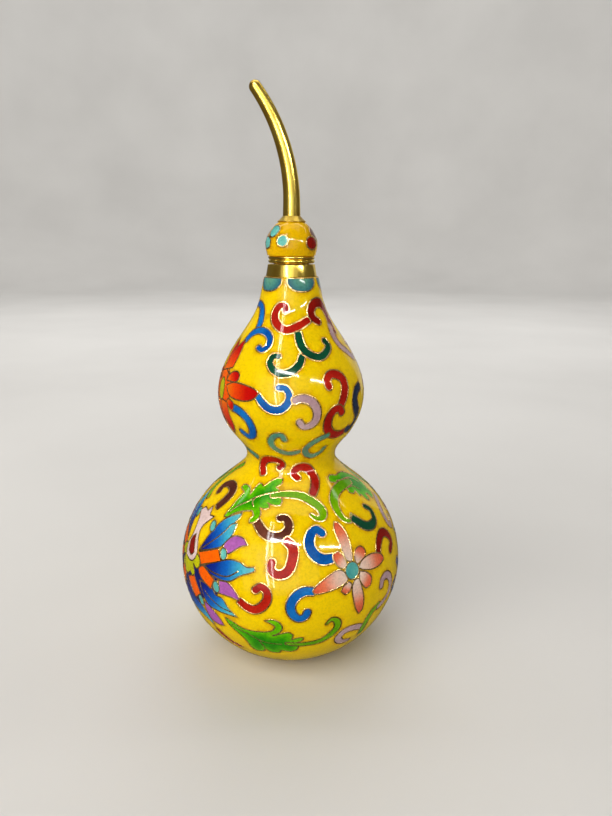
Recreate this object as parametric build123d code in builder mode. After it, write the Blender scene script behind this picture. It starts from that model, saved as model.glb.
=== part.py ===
"""Cloisonne double-gourd bottle with a lift-off stopper and a curved brass stem.

All sizes are in millimetres. Z is up, the bottle stands on Z = 0 and its axis is the Z axis; the stem
leans towards -X. Every layer of the wall (enamel, copper, lining) is a copy of one outer profile, moved
inwards by its depth below the polished surface.
"""
from build123d import *
import os

# Gourd profile at the polished enamel surface.
BELLY_R = 23.0
BELLY_Z = 19.6
BELLY_RISE = 21.5
BELLY_ARC_FROM = -80
BELLY_ARC_TO = 40
WAIST_R = 9.0
WAIST_Z = 42.2
WAIST_FLARE_R = 11.85
WAIST_FLARE_BELOW = 3.8
WAIST_FLARE_ABOVE = 4.9
CROWN_R = 14.65
CROWN_Z = 56.0
SHOULDER_R = 11.35
SHOULDER_Z = 64.5
THROAT_R = 7.4
THROAT_Z = 70.6
NECK_R = 5.0
NECK_TOP_Z = 79.0
NECK_TAPER = 0.24

# Thickness of each layer, and the heights where they stop at the mouth.
ENAMEL_T = 0.7
ENAMEL_TOP_Z = 78.0
COPPER_T = 0.7
LINING_T = 0.3
LINING_TOP_Z = 76.0
SEAM_T = 0.2
NECK_EDGE_FILLET = 0.3

# Foot.
FOOT_R = 9.9
FOOT_WIDTH = 1.0
FOOT_FILLET = 0.2
BASE_RECESS = 0.45

# Mouth fitting.
MOUTH_Z = 80.3
MOUTH_BORE_R = 3.4
MOUTH_SLEEVE_T = 0.35
MOUTH_SLEEVE_BOTTOM_Z = 72.8
MOUTH_LIP_T = 0.5
NECK_STUB_R = 4.2
COLLAR_TOP_R = 4.55
COLLAR_FOOT_R = 4.95
COLLAR_BEVEL = 0.12

# Stopper head.
STOPPER_GAP = 0.2
RIM_R = 4.5
RIM_H = 1.4
RIM_BEAD_DEPTH = 0.25
DOME_FOOT_R = 4.64
DOME_SKIRT_INSET = 0.15
DOME_SKIRT_DROP = 0.5
DOME_FOOT_LEAN = 0.3
DOME_R = 4.97
DOME_Z = 84.4
DOME_SHOULDER_R = 3.95
DOME_SHOULDER_Z = 86.6
DOME_TOP_R = 2.5
DOME_TOP_Z = 88.05
DOME_TOP_LEAN = 0.5
DOME_ENAMEL_T = 0.5
DOME_COPPER_T = 0.5

# Stopper plug and its cork ring.
PLUG_R = 2.4
PLUG_WALL = 0.6
PLUG_BOTTOM_Z = 73.0
PLUG_LIP_R = 3.0
PLUG_LIP_T = 0.5
PLUG_HEAD_R = 3.5
PLUG_HEAD_T = 0.4
CORK_CLEARANCE = 0.04

# Stem and its fixing.
FLANGE_R = 2.72
FLANGE_H = 1.15
FLANGE_BEAD_H = 0.3
FLANGE_THROAT_OUT = 0.46
FLANGE_THROAT_SHARE = 0.58
STEM_BASE_R = 1.68
STEM_TIP_R = 1.15
STEM_STRAIGHT_Z = 91.5
STEM_BEND_R = 34.0
STEM_BEND_DEG = 38.4
STEM_TIP_ROUNDING = 0.93
STEM_SECTIONS = 6
STUD_R = 1.0
STUD_BOTTOM_Z = 85.0
WASHER_R = 2.1
WASHER_T = 0.3
NUT_ACROSS_FLATS = 3.6
NUT_T = 1.4

SKIN_SAMPLES = 32

os.makedirs("parts", exist_ok=True)


def keep(piece, name):
    """Labels a finished sub-part and writes its STEP."""
    piece.part.label = name
    export_step(piece.part, f"parts/{name}.step")


# ---------------------------------------------------------------- profiles and their inset copies

with BuildLine(Plane.XZ) as gourd_profile:
    belly = EllipticalCenterArc(
        (0, BELLY_Z),
        BELLY_R,
        BELLY_RISE,
        start_angle=BELLY_ARC_FROM,
        arc_size=BELLY_ARC_TO - BELLY_ARC_FROM,
    )
    Spline(
        belly @ 1,
        (WAIST_FLARE_R, WAIST_Z - WAIST_FLARE_BELOW),
        (WAIST_R, WAIST_Z),
        (WAIST_FLARE_R, WAIST_Z + WAIST_FLARE_ABOVE),
        (CROWN_R, CROWN_Z),
        (SHOULDER_R, SHOULDER_Z),
        (THROAT_R, THROAT_Z),
        (NECK_R, NECK_TOP_Z),
        tangents=(belly % 1, (-NECK_TAPER, 1)),
    )
gourd_edge = gourd_profile.wires()[0]

RIM_TOP_Z = MOUTH_Z + STOPPER_GAP + RIM_H

with BuildLine(Plane.XZ) as dome_profile:
    Spline(
        (DOME_FOOT_R - DOME_SKIRT_INSET, RIM_TOP_Z - DOME_SKIRT_DROP),
        (DOME_FOOT_R, RIM_TOP_Z),
        (DOME_R, DOME_Z),
        (DOME_SHOULDER_R, DOME_SHOULDER_Z),
        (DOME_TOP_R, DOME_TOP_Z),
        tangents=((DOME_FOOT_LEAN, 1), (-1, DOME_TOP_LEAN)),
    )
dome_edge = dome_profile.wires()[0]


def inset_point(edge, fraction, inset):
    """A point of a profile, moved inwards by the inset."""
    at = edge @ fraction
    along = edge % fraction
    return (at.X - along.Z * inset, at.Z + along.X * inset)


def first_place(edge, inset, reached):
    """The fraction of an inset profile where reached(r, z) first holds, found by halving."""
    low = 0.0
    high = 1.0
    for _ in range(40):
        middle = (low + high) / 2
        if reached(*inset_point(edge, middle, inset)):
            high = middle
        else:
            low = middle
    return high


def at_height(edge, inset, height):
    return first_place(edge, inset, lambda r, z: z >= height)


def at_foot(inset):
    return first_place(gourd_edge, inset, lambda r, z: r >= FOOT_R or z > BELLY_Z)


def inset_curve(edge, inset, start, end):
    """Points along an inset profile between two fractions."""
    steps = range(SKIN_SAMPLES + 1)
    return [inset_point(edge, start + (end - start) * step / SKIN_SAMPLES, inset) for step in steps]


def layer(edge, outer, inner, outer_span, inner_span):
    """Revolves the band between two insets of a profile, each over its own span, into the current part."""
    with BuildSketch(Plane.XZ) as band:
        with BuildLine():
            outside = Spline(*inset_curve(edge, outer, *outer_span))
            inside = Spline(*inset_curve(edge, inner, *inner_span))
            Line(outside @ 0, inside @ 0)
            Line(outside @ 1, inside @ 1)
        make_face()
    revolve(band.sketch, axis=Axis.Z)


def ring(inner_radius, outer_radius, low, high):
    """Adds a plain ring between two radii and two heights to the current part."""
    with BuildSketch(Plane.XY.offset(low)) as annulus:
        Circle(outer_radius)
        Circle(inner_radius, mode=Mode.SUBTRACT)
    extrude(annulus.sketch, amount=high - low)


# The floor of the copper sits where the copper's outer skin reaches the foot ring.
FLOOR_Z = inset_point(gourd_edge, at_foot(ENAMEL_T), ENAMEL_T)[1]
COPPER_INNER = ENAMEL_T + COPPER_T
LINING_INNER = COPPER_INNER + LINING_T
STUB_BORE_R = MOUTH_BORE_R + MOUTH_SLEEVE_T


# ---------------------------------------------------------------- bottle

def hollow_gourd(outer, inner, floor_z, floor_t):
    """Adds a closed-bottomed gourd shell between two insets, cut off level with the enamel's top."""
    outer_end = at_height(gourd_edge, outer, ENAMEL_TOP_Z)
    inner_end = at_height(gourd_edge, inner, ENAMEL_TOP_Z)
    outer_start = at_height(gourd_edge, outer, floor_z)
    inner_start = at_height(gourd_edge, inner, floor_z + floor_t)
    with BuildSketch(Plane.XZ) as wall:
        with BuildLine():
            outside = Spline(*inset_curve(gourd_edge, outer, outer_start, outer_end))
            inside = Spline(*inset_curve(gourd_edge, inner, inner_start, inner_end))
            Polyline(outside @ 0, (0, floor_z), (0, floor_z + floor_t), inside @ 0)
            Line(outside @ 1, inside @ 1)
        make_face()
    revolve(wall.sketch, axis=Axis.Z)


def copper_wall():
    """Adds the whole copper body: the gourd shell with a straight stub at the mouth."""
    hollow_gourd(ENAMEL_T, COPPER_INNER, FLOOR_Z, COPPER_T)
    ring(STUB_BORE_R, NECK_STUB_R, ENAMEL_TOP_Z - COPPER_T, MOUTH_Z - MOUTH_LIP_T)


SEAM_LOW = Plane.XY.offset(WAIST_Z - SEAM_T / 2)
SEAM_HIGH = Plane.XY.offset(WAIST_Z + SEAM_T / 2)

with BuildPart() as copper_body_lower:
    copper_wall()
    split(bisect_by=SEAM_LOW, keep=Keep.BOTTOM)
keep(copper_body_lower, "copper_body_lower")

with BuildPart() as copper_body_upper:
    copper_wall()
    split(bisect_by=SEAM_HIGH, keep=Keep.TOP)
keep(copper_body_upper, "copper_body_upper")

with BuildPart() as waist_solder_seam:
    copper_wall()
    split(bisect_by=SEAM_LOW, keep=Keep.TOP)
    split(bisect_by=SEAM_HIGH, keep=Keep.BOTTOM)
keep(waist_solder_seam, "waist_solder_seam")

with BuildPart() as counter_enamel:
    hollow_gourd(COPPER_INNER, LINING_INNER, FLOOR_Z + COPPER_T, LINING_T)
    split(bisect_by=Plane.XY.offset(LINING_TOP_Z), keep=Keep.BOTTOM)
keep(counter_enamel, "counter_enamel")

with BuildPart() as enamel_ground:
    layer(
        gourd_edge,
        0,
        ENAMEL_T,
        (at_foot(0), at_height(gourd_edge, 0, ENAMEL_TOP_Z)),
        (at_foot(ENAMEL_T), at_height(gourd_edge, ENAMEL_T, ENAMEL_TOP_Z)),
    )
    top_edges = enamel_ground.faces().sort_by(Axis.Z)[-1].edges()
    fillet(top_edges.sort_by(SortBy.RADIUS)[-1], NECK_EDGE_FILLET)
keep(enamel_ground, "enamel_ground")

with BuildPart() as foot_ring:
    ring(FOOT_R - FOOT_WIDTH, FOOT_R, 0, FLOOR_Z)
    fillet(foot_ring.faces().sort_by(Axis.Z)[0].edges(), FOOT_FILLET)
keep(foot_ring, "foot_ring")

with BuildPart() as base_enamel:
    with BuildSketch(Plane.XY.offset(BASE_RECESS)):
        Circle(FOOT_R - FOOT_WIDTH)
    extrude(amount=FLOOR_Z - BASE_RECESS)
keep(base_enamel, "base_enamel")

with BuildPart() as neck_collar:
    with BuildSketch(Plane.XZ):
        with BuildLine():
            Polyline(
                (MOUTH_BORE_R, MOUTH_SLEEVE_BOTTOM_Z),
                (STUB_BORE_R, MOUTH_SLEEVE_BOTTOM_Z),
                (STUB_BORE_R, MOUTH_Z - MOUTH_LIP_T),
                (NECK_STUB_R, MOUTH_Z - MOUTH_LIP_T),
                (NECK_STUB_R, ENAMEL_TOP_Z),
                (COLLAR_FOOT_R, ENAMEL_TOP_Z),
                (COLLAR_TOP_R, MOUTH_Z),
                (MOUTH_BORE_R, MOUTH_Z),
                close=True,
            )
        make_face()
    revolve(axis=Axis.Z)
    chamfer(neck_collar.edges().filter_by(GeomType.CIRCLE).group_by(Axis.Z)[-1], COLLAR_BEVEL)
keep(neck_collar, "neck_collar")


# ---------------------------------------------------------------- cork ring

RIM_BOTTOM_Z = MOUTH_Z + STOPPER_GAP

with BuildPart() as cork_sleeve:
    ring(
        PLUG_R + CORK_CLEARANCE,
        MOUTH_BORE_R - CORK_CLEARANCE,
        PLUG_BOTTOM_Z + PLUG_LIP_T + CORK_CLEARANCE,
        RIM_BOTTOM_Z - CORK_CLEARANCE,
    )
keep(cork_sleeve, "cork_sleeve")


# ---------------------------------------------------------------- stopper

with BuildPart() as stopper_plug:
    ring(PLUG_R - PLUG_WALL, PLUG_R, PLUG_BOTTOM_Z, RIM_TOP_Z + PLUG_HEAD_T)
    ring(PLUG_R - PLUG_WALL, PLUG_LIP_R, PLUG_BOTTOM_Z, PLUG_BOTTOM_Z + PLUG_LIP_T)
    ring(PLUG_R - PLUG_WALL, PLUG_HEAD_R, RIM_TOP_Z, RIM_TOP_Z + PLUG_HEAD_T)
keep(stopper_plug, "stopper_plug")

with BuildPart() as stopper_rim:
    bead_h = RIM_H / 2
    with BuildSketch(Plane.XZ):
        with BuildLine():
            Polyline(
                (RIM_R - RIM_BEAD_DEPTH, RIM_BOTTOM_Z),
                (PLUG_R, RIM_BOTTOM_Z),
                (PLUG_R, RIM_TOP_Z),
                (RIM_R - RIM_BEAD_DEPTH, RIM_TOP_Z),
            )
            for bead in range(2):
                low = RIM_BOTTOM_Z + bead * bead_h
                ThreePointArc(
                    (RIM_R - RIM_BEAD_DEPTH, low),
                    (RIM_R, low + bead_h / 2),
                    (RIM_R - RIM_BEAD_DEPTH, low + bead_h),
                )
        make_face()
    revolve(axis=Axis.Z)
keep(stopper_rim, "stopper_rim")


def dome_layer(outer, inner):
    """Adds a domed cap between two insets of the dome, with the stud's hole in its crown."""
    outer_top = DOME_TOP_Z - outer
    inner_top = DOME_TOP_Z - inner
    with BuildSketch(Plane.XZ) as cap:
        with BuildLine():
            outside = Spline(
                *inset_curve(
                    dome_edge,
                    outer,
                    at_height(dome_edge, outer, RIM_TOP_Z),
                    at_height(dome_edge, outer, outer_top),
                )
            )
            inside = Spline(
                *inset_curve(
                    dome_edge,
                    inner,
                    at_height(dome_edge, inner, RIM_TOP_Z),
                    at_height(dome_edge, inner, inner_top),
                )
            )
            Line(outside @ 0, inside @ 0)
            Polyline(outside @ 1, (STUD_R, outer_top), (STUD_R, inner_top), inside @ 1)
        make_face()
    revolve(cap.sketch, axis=Axis.Z)


with BuildPart() as stopper_dome:
    dome_layer(DOME_ENAMEL_T, DOME_ENAMEL_T + DOME_COPPER_T)
keep(stopper_dome, "stopper_dome")

with BuildPart() as stopper_enamel:
    dome_layer(0, DOME_ENAMEL_T)
keep(stopper_enamel, "stopper_enamel")

FLANGE_TOP_Z = DOME_TOP_Z + FLANGE_H

with BuildPart() as stem_flange:
    with BuildSketch(Plane.XZ):
        with BuildLine():
            Polyline(
                (STEM_BASE_R, FLANGE_TOP_Z),
                (STUD_R, FLANGE_TOP_Z),
                (STUD_R, DOME_TOP_Z),
                (FLANGE_R - FLANGE_BEAD_H / 2, DOME_TOP_Z),
            )
            ThreePointArc(
                (FLANGE_R - FLANGE_BEAD_H / 2, DOME_TOP_Z),
                (FLANGE_R, DOME_TOP_Z + FLANGE_BEAD_H / 2),
                (FLANGE_R - FLANGE_BEAD_H / 2, DOME_TOP_Z + FLANGE_BEAD_H),
            )
            ThreePointArc(
                (FLANGE_R - FLANGE_BEAD_H / 2, DOME_TOP_Z + FLANGE_BEAD_H),
                (STEM_BASE_R + FLANGE_THROAT_OUT, DOME_TOP_Z + FLANGE_THROAT_SHARE * FLANGE_H),
                (STEM_BASE_R, FLANGE_TOP_Z),
            )
        make_face()
    revolve(axis=Axis.Z)
keep(stem_flange, "stem_flange")

with BuildPart() as stem:
    with BuildLine(Plane.XZ) as stem_path:
        straight = Line((0, FLANGE_TOP_Z), (0, STEM_STRAIGHT_Z))
        JernArc(straight @ 1, (0, 1), STEM_BEND_R, STEM_BEND_DEG)
    stem_wire = stem_path.wires()[0]
    for section in range(STEM_SECTIONS + 1):
        share = section / STEM_SECTIONS
        with BuildSketch(Plane(stem_wire @ share, z_dir=stem_wire % share)):
            Circle(STEM_BASE_R + (STEM_TIP_R - STEM_BASE_R) * share)
    sweep(path=stem_wire, multisection=True)
    tip_edge = stem.faces().filter_by(GeomType.PLANE).sort_by(Axis.Z)[-1].edges()
    fillet(tip_edge, STEM_TIP_R * STEM_TIP_ROUNDING)
    with BuildSketch(Plane.XY.offset(STUD_BOTTOM_Z)):
        Circle(STUD_R)
    extrude(amount=FLANGE_TOP_Z - STUD_BOTTOM_Z)
keep(stem, "stem")

CROWN_UNDERSIDE_Z = DOME_TOP_Z - DOME_ENAMEL_T - DOME_COPPER_T

with BuildPart() as nut_washer:
    ring(STUD_R, WASHER_R, CROWN_UNDERSIDE_Z - WASHER_T, CROWN_UNDERSIDE_Z)
keep(nut_washer, "nut_washer")

with BuildPart() as stem_nut:
    with BuildSketch(Plane.XY.offset(CROWN_UNDERSIDE_Z - WASHER_T - NUT_T)):
        RegularPolygon(NUT_ACROSS_FLATS / 2, 6, major_radius=False)
        Circle(STUD_R, mode=Mode.SUBTRACT)
    extrude(amount=NUT_T)
keep(stem_nut, "stem_nut")
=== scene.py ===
"""Looks of the cloisonne double-gourd bottle with its lift-off stopper.

Lengths are millimetres until a mesh is made, and angles round the axis are degrees from the front
(-Y), growing towards +X. Each enamelled skin is unrolled into a flat map that keeps its angles, the
wires and cells are drawn on that map, and the drawing is cut into closed pieces that fill the whole
depth of the enamel, as the real wires and enamels do.
"""

import math

import bpy
import numpy as np
from mathutils import Matrix, Vector
from mathutils.geometry import delaunay_2d_cdt
from mathutils.kdtree import KDTree


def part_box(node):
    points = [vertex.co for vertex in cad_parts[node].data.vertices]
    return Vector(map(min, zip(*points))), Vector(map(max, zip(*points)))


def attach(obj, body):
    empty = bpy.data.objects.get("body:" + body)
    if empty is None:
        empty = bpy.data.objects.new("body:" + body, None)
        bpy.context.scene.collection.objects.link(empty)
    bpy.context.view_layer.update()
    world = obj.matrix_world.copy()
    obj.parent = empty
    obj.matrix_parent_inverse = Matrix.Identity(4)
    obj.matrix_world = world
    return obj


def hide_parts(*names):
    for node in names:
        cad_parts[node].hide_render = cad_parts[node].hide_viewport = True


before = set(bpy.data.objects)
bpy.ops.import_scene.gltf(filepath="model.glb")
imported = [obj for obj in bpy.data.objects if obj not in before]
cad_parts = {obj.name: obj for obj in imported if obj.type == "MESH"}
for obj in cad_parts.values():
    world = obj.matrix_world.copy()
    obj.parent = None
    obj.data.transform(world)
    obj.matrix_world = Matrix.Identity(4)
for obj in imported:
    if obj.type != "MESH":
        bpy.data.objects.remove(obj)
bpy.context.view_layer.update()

MM = 0.001
FULL_TURN = 2 * math.pi
TINY = 1e-12

# The enamel's depth in each copper body, and the wires: their width, how far their crest and their edge
# stand proud of the enamel, and how much their normals lean outwards at the edge.
BOTTLE_ENAMEL_DEPTH = 0.69
DOME_ENAMEL_DEPTH = 0.49
WIRE_WIDTH = 0.27
WIRE_CREST = 0.035
WIRE_EDGE = 0.008
WIRE_ROUNDING = 0.55

# How finely the skin's profile, the lines and the ground between them are cut.
PROFILE_STEP = 0.02
LINE_STEP = 0.42
GROUND_STEP = 0.95
GROUND_CLEARANCE = 0.3
LEAST_AROUND = 12

# What counts as a corner, as the outside of a turned piece, and as part of a wire.
CORNER_DEGREES = 62
LEAST_OUTWARD = 0.05
WIRE_MARGIN = 1.03

# How far lines run over the map's seam and rims, and which points count as one.
SEAM_OVERLAP = 0.05
RIM_OVERLAP = 0.04
SEAM_WIDTH = 1e-5
SEAM_STEP = 1e-4
MERGE_DISTANCE = 1e-7

# The least lengths that directions are divided by, where a line turns and where a wire's rim leans.
SHORTEST_MITRE = 0.6
LEAST_LEAN = 1e-6


def in_scene(name, data):
    """A new object in the scene."""
    thing = bpy.data.objects.new(name, data)
    bpy.context.scene.collection.objects.link(thing)
    return thing


def smooth_mesh(name, verts, faces, material):
    """A mesh with smooth faces of one material, from points in metres."""
    mesh = bpy.data.meshes.new(name)
    mesh.from_pydata(verts, [], faces)
    mesh.polygons.foreach_set("use_smooth", [True] * len(faces))
    mesh.materials.append(material)
    return mesh


def ring_faces(rings, around, closed=False):
    """Four-sided faces between each ring of points and the next, and from the last ring to the first
    where they are closed."""
    total = rings * around
    faces = []
    for ring in range(rings if closed else rings - 1):
        for k in range(around):
            a = ring * around + k
            b = ring * around + (k + 1) % around
            faces.append((a, (a + around) % total, (b + around) % total, b))
    return faces


# ---------------------------------------------------------------- curves

def unit(vectors, least=TINY):
    """Vectors in rows, divided by their lengths, or by least where that is more."""
    return vectors / np.maximum(np.linalg.norm(vectors, axis=1), least)[:, None]


def smooth_line(points, step, scale=1.0, closed=False):
    """A smooth curve through points, sampled about every step once lengths are multiplied by scale."""
    points = np.asarray(points, float)
    count = len(points)
    ahead = np.roll(points, -1, 0) - points
    reach = np.maximum(np.linalg.norm(ahead, axis=1), TINY)
    pace = np.sqrt(reach)
    slope = ahead / pace[:, None]
    before = np.roll(slope, 1, 0)
    pace_before = np.roll(pace, 1)
    across = (points - np.roll(points, 1, 0) + ahead) / (pace_before + pace)[:, None]
    tangent = before + slope - across
    if not closed:
        tangent[0] = slope[0]
        tangent[-1] = before[-1]
    line = []
    for i in range(count if closed else count - 1):
        j = (i + 1) % count
        parts = max(2, math.ceil(reach[i] * scale / step))
        t = (np.arange(parts) / parts)[:, None]
        line.append(
            (2 * t**3 - 3 * t**2 + 1) * points[i]
            + (t**3 - 2 * t**2 + t) * tangent[i] * pace[i]
            + (3 * t**2 - 2 * t**3) * points[j]
            + (t**3 - t**2) * tangent[j] * pace[i]
        )
    if not closed:
        line.append(points[-1:])
    return np.concatenate(line)


def turns(points):
    """How far a closed outline turns at each point, in degrees."""
    ahead = np.roll(points, -1, 0) - points
    heading = np.arctan2(ahead[:, 1], ahead[:, 0])
    turn = heading - np.roll(heading, 1)
    return np.degrees(np.abs((turn + math.pi) % FULL_TURN - math.pi))


def closed_outline(points, scale):
    """A closed outline through points, smooth except where it turns sharply."""
    corners = np.flatnonzero(turns(points) > CORNER_DEGREES)
    if len(corners) == 0:
        return smooth_line(points, LINE_STEP, scale, closed=True)
    points = np.roll(points, -corners[0], 0)
    stops = list(corners - corners[0]) + [len(points)]
    points = np.concatenate([points, points[:1]])
    spans = [smooth_line(points[a:b + 1], LINE_STEP, scale)[:-1] for a, b in zip(stops, stops[1:])]
    return np.concatenate(spans)


def side_normals(line, closed):
    """Normals of a line, to its left, of unit length but at its sharpest turns."""
    ahead = np.roll(line, -1, 0) - line
    behind = line - np.roll(line, 1, 0)
    if not closed:
        ahead[-1] = behind[-1]
        behind[0] = ahead[0]
    mean = unit(unit(ahead) + unit(behind), SHORTEST_MITRE)
    return np.stack([-mean[:, 1], mean[:, 0]], 1)


# ---------------------------------------------------------------- the skin of a turned piece

class Skin:
    """The outer skin of a turned CAD node as a flat map: x is the angle round the axis in radians, and
    y grows by length over radius up the profile, so that shapes keep their angles. The profile passes
    through the node's points that lie a step or more apart, or an edge_step above the height edge_z."""

    def __init__(self, node, depth, edge_z, step=0.5, edge_step=0.06):
        self.depth = depth
        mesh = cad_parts[node].data
        co = np.array([vertex.co for vertex in mesh.vertices]) / MM
        normals = np.array([face.normal for face in mesh.polygons])
        faces = np.array([face.vertices[:] for face in mesh.polygons])
        middle = co[faces].mean(1)
        outwards = (normals[:, :2] * middle[:, :2]).sum(1) / np.hypot(middle[:, 0], middle[:, 1])
        skin = co[np.unique(faces[outwards > LEAST_OUTWARD])]
        profile = np.stack([np.hypot(skin[:, 0], skin[:, 1]), skin[:, 2]], 1)
        profile = profile[np.argsort(profile[:, 1])]
        kept = [profile[0]]
        for point in profile:
            if np.linalg.norm(point - kept[-1]) > (edge_step if point[1] > edge_z else step):
                kept.append(point)
        line = smooth_line(kept, PROFILE_STEP)
        ahead = np.gradient(line, axis=0)
        length = np.linalg.norm(ahead, axis=1)
        self.r = line[:, 0]
        self.z = line[:, 1]
        self.normal_r = ahead[:, 1] / length
        self.normal_z = -ahead[:, 0] / length
        run = np.linalg.norm(np.diff(line, axis=0), axis=1)
        self.y = np.concatenate([[0], np.cumsum(run / (line[1:, 0] + line[:-1, 0]) * 2)])

    def radius(self, points):
        return np.interp(points[..., 1], self.y, self.r)

    def flat(self, marks):
        """Map points from (degrees, height) marks."""
        marks = np.asarray(marks, float)
        return np.stack([np.radians(marks[:, 0]), np.interp(marks[:, 1], self.z, self.y)], 1)

    def solid(self, points, lift):
        """Points in space, and the skin's outward normals there."""
        profile = (self.r, self.z, self.normal_r, self.normal_z)
        r, z, out, up = (np.interp(points[:, 1], self.y, values) for values in profile)
        sin, cos = np.sin(points[:, 0]), np.cos(points[:, 0])
        normal = unit(np.stack([out * sin, -out * cos, up], 1))
        return np.stack([r * sin, -r * cos, z], 1) + normal * np.reshape(lift, (-1, 1)), normal

    def across(self, points):
        """Unit vectors in space along the map's x and y."""
        out, up = (np.interp(points[:, 1], self.y, values) for values in (self.normal_r, self.normal_z))
        sin, cos = np.sin(points[:, 0]), np.cos(points[:, 0])
        return np.stack([cos, sin, 0 * sin], 1), np.stack([-up * sin, up * cos, out], 1)


# ---------------------------------------------------------------- drawing on a skin

def inside(points, outline):
    """Which points lie inside a closed outline."""
    x, y = points[:, :1], points[:, 1:]
    x0, y0 = outline[:, 0], outline[:, 1]
    x1, y1 = np.roll(x0, -1), np.roll(y0, -1)
    rise = np.where(y1 == y0, TINY, y1 - y0)
    crossed = ((y0 > y) != (y1 > y)) & (x < x0 + (y - y0) * (x1 - x0) / rise)
    return crossed.sum(1) % 2 == 1


def distance(points, line, closed):
    """How far each point is from a line."""
    start = line if closed else line[:-1]
    run = (np.roll(line, -1, 0) if closed else line[1:]) - start
    best = np.full(len(points), np.inf)
    for a, d in zip(start, run):
        t = np.clip(((points - a) @ d) / max(d @ d, TINY * TINY), 0, 1)
        best = np.minimum(best, np.linalg.norm(points - a - t[:, None] * d, axis=1))
    return best


class Drawing:
    """Motifs drawn on a skin, later ones over earlier ones."""

    def __init__(self, skin):
        self.skin = skin
        self.motifs = []
        self.points = []
        self.edges = []
        self.crest = []

    def draw(self, line, fill, tone=None, closed=True):
        """Adds a wire along a line, filled with an enamel if it is closed. tone gives map points a
        number from 0 to 1, which the enamel's colour follows."""
        self.motifs.append({"line": line, "fill": fill, "tone": tone, "closed": closed})

    def copies(self):
        """Every motif, once more a whole turn away where it crosses the back seam."""
        reach = math.pi + SEAM_OVERLAP
        for motif in self.motifs:
            low = motif["line"][:, 0].min()
            high = motif["line"][:, 0].max()
            for turn in (-FULL_TURN, 0, FULL_TURN):
                if high + turn > -reach and low + turn < reach:
                    yield motif, motif["line"] + (turn, 0), turn

    def add_line(self, line, closed, on_crest=False):
        """Adds a line to what is triangulated. The crest is the top of a wire."""
        first = len(self.points)
        self.points.extend(line)
        self.crest.extend([on_crest] * len(line))
        last = len(line) if closed else len(line) - 1
        self.edges.extend((first + i, first + (i + 1) % len(line)) for i in range(last))

    def add_wire(self, line, closed):
        """Adds a wire's crest and its two sides."""
        side = side_normals(line, closed) * (WIRE_WIDTH / 2 / self.skin.radius(line))[:, None]
        self.add_line(line, closed, on_crest=True)
        if closed:
            self.add_line(line + side, True)
            self.add_line(line - side, True)
        else:
            self.add_line(np.concatenate([line + side, (line - side)[::-1]]), True)

    def add_ground(self):
        """Adds an even spread of points clear of the wires, then both sides of the seam and both rims."""
        skin = self.skin
        low, high = skin.y[0], skin.y[-1]
        rows = [low]
        while rows[-1] < high:
            rows.append(rows[-1] + GROUND_STEP / np.interp(rows[-1], skin.y, skin.r))
        rows[-1] = high
        wires = KDTree(len(self.points))
        for i, point in enumerate(self.points):
            wires.insert((*point, 0), i)
        wires.balance()
        for k, y in enumerate(rows):
            radius = np.interp(y, skin.y, skin.r)
            around = max(LEAST_AROUND, round(FULL_TURN * radius / GROUND_STEP))
            for i in range(around + 1):
                x = -math.pi + FULL_TURN * (i + 0.5 * (k % 2)) / around
                clear = wires.find((x, y, 0))[2] > GROUND_CLEARANCE / radius
                if x <= math.pi and (clear or y in (low, high)):
                    self.points.append(np.array([x, y]))
                    self.crest.append(False)
        for x in (-math.pi, math.pi):
            self.add_line(np.array([(x, y) for y in rows]), False)
        for y in (low, high):
            self.add_line(np.array([(-math.pi - RIM_OVERLAP, y), (math.pi + RIM_OVERLAP, y)]), False)

    def claim(self, middle):
        """Which motif each triangle belongs to, or -1, and whether it is wire."""
        self.owner = np.full(len(middle), -1)
        self.wired = np.zeros(len(middle), bool)
        for k, (motif, line, _) in enumerate(self.laid):
            margin = WIRE_WIDTH / self.skin.radius(line).min()
            boxed = (middle > line.min(0) - margin) & (middle < line.max(0) + margin)
            near = np.flatnonzero(np.all(boxed, axis=1))
            if motif["closed"]:
                filled = near[inside(middle[near], line)]
                self.owner[filled] = k
                self.wired[filled] = False
            reach = WIRE_WIDTH / 2 * WIRE_MARGIN / self.skin.radius(middle[near])
            on_wire = near[distance(middle[near], line, motif["closed"]) < reach]
            self.owner[on_wire] = k
            self.wired[on_wire] = True

    def cut(self):
        """Triangulates the map along every wire, and says which motif each triangle belongs to."""
        self.laid = list(self.copies())
        for motif, line, _ in self.laid:
            self.add_wire(line, motif["closed"])
        self.add_ground()
        flat, _, faces, origins, _, _ = delaunay_2d_cdt(
            [Vector(point) for point in self.points], self.edges, [], 0, MERGE_DISTANCE
        )
        self.flat = np.array([point[:] for point in flat])
        self.on_crest = np.array([any(self.crest[i] for i in origin) for origin in origins])
        faces = np.array([face[:] for face in faces])
        x, y = self.flat[faces].mean(1).T
        self.faces = faces[(np.abs(x) < math.pi) & (y > self.skin.y[0]) & (y < self.skin.y[-1])]
        self.claim(self.flat[self.faces].mean(1))

    def welded(self, faces):
        """Faces with their corners on the back seam's right side moved onto its left side."""
        x, y = self.flat.T
        left = np.flatnonzero(np.abs(x + math.pi) < SEAM_WIDTH)
        target = np.arange(len(x))
        for i in np.flatnonzero(np.abs(x - math.pi) < SEAM_WIDTH):
            step = np.abs(y[left] - y[i])
            if step.min() < SEAM_STEP:
                target[i] = left[np.argmin(step)]
        return target[faces]

    def rounded(self, flat, rim, normal):
        """A wire's normals, made to lean outwards along its rim."""
        run = flat[rim[:, 1]] - flat[rim[:, 0]]
        run[:, 0] = (run[:, 0] + math.pi) % FULL_TURN - math.pi
        out = unit(np.stack([run[:, 1], -run[:, 0]], 1))
        lean = np.zeros((len(flat), 2))
        np.add.at(lean, rim[:, 0], out)
        np.add.at(lean, rim[:, 1], out)
        lean = unit(lean, LEAST_LEAN)
        east, north = self.skin.across(flat)
        return unit(normal + WIRE_ROUNDING * (lean[:, :1] * east + lean[:, 1:] * north))

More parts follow.
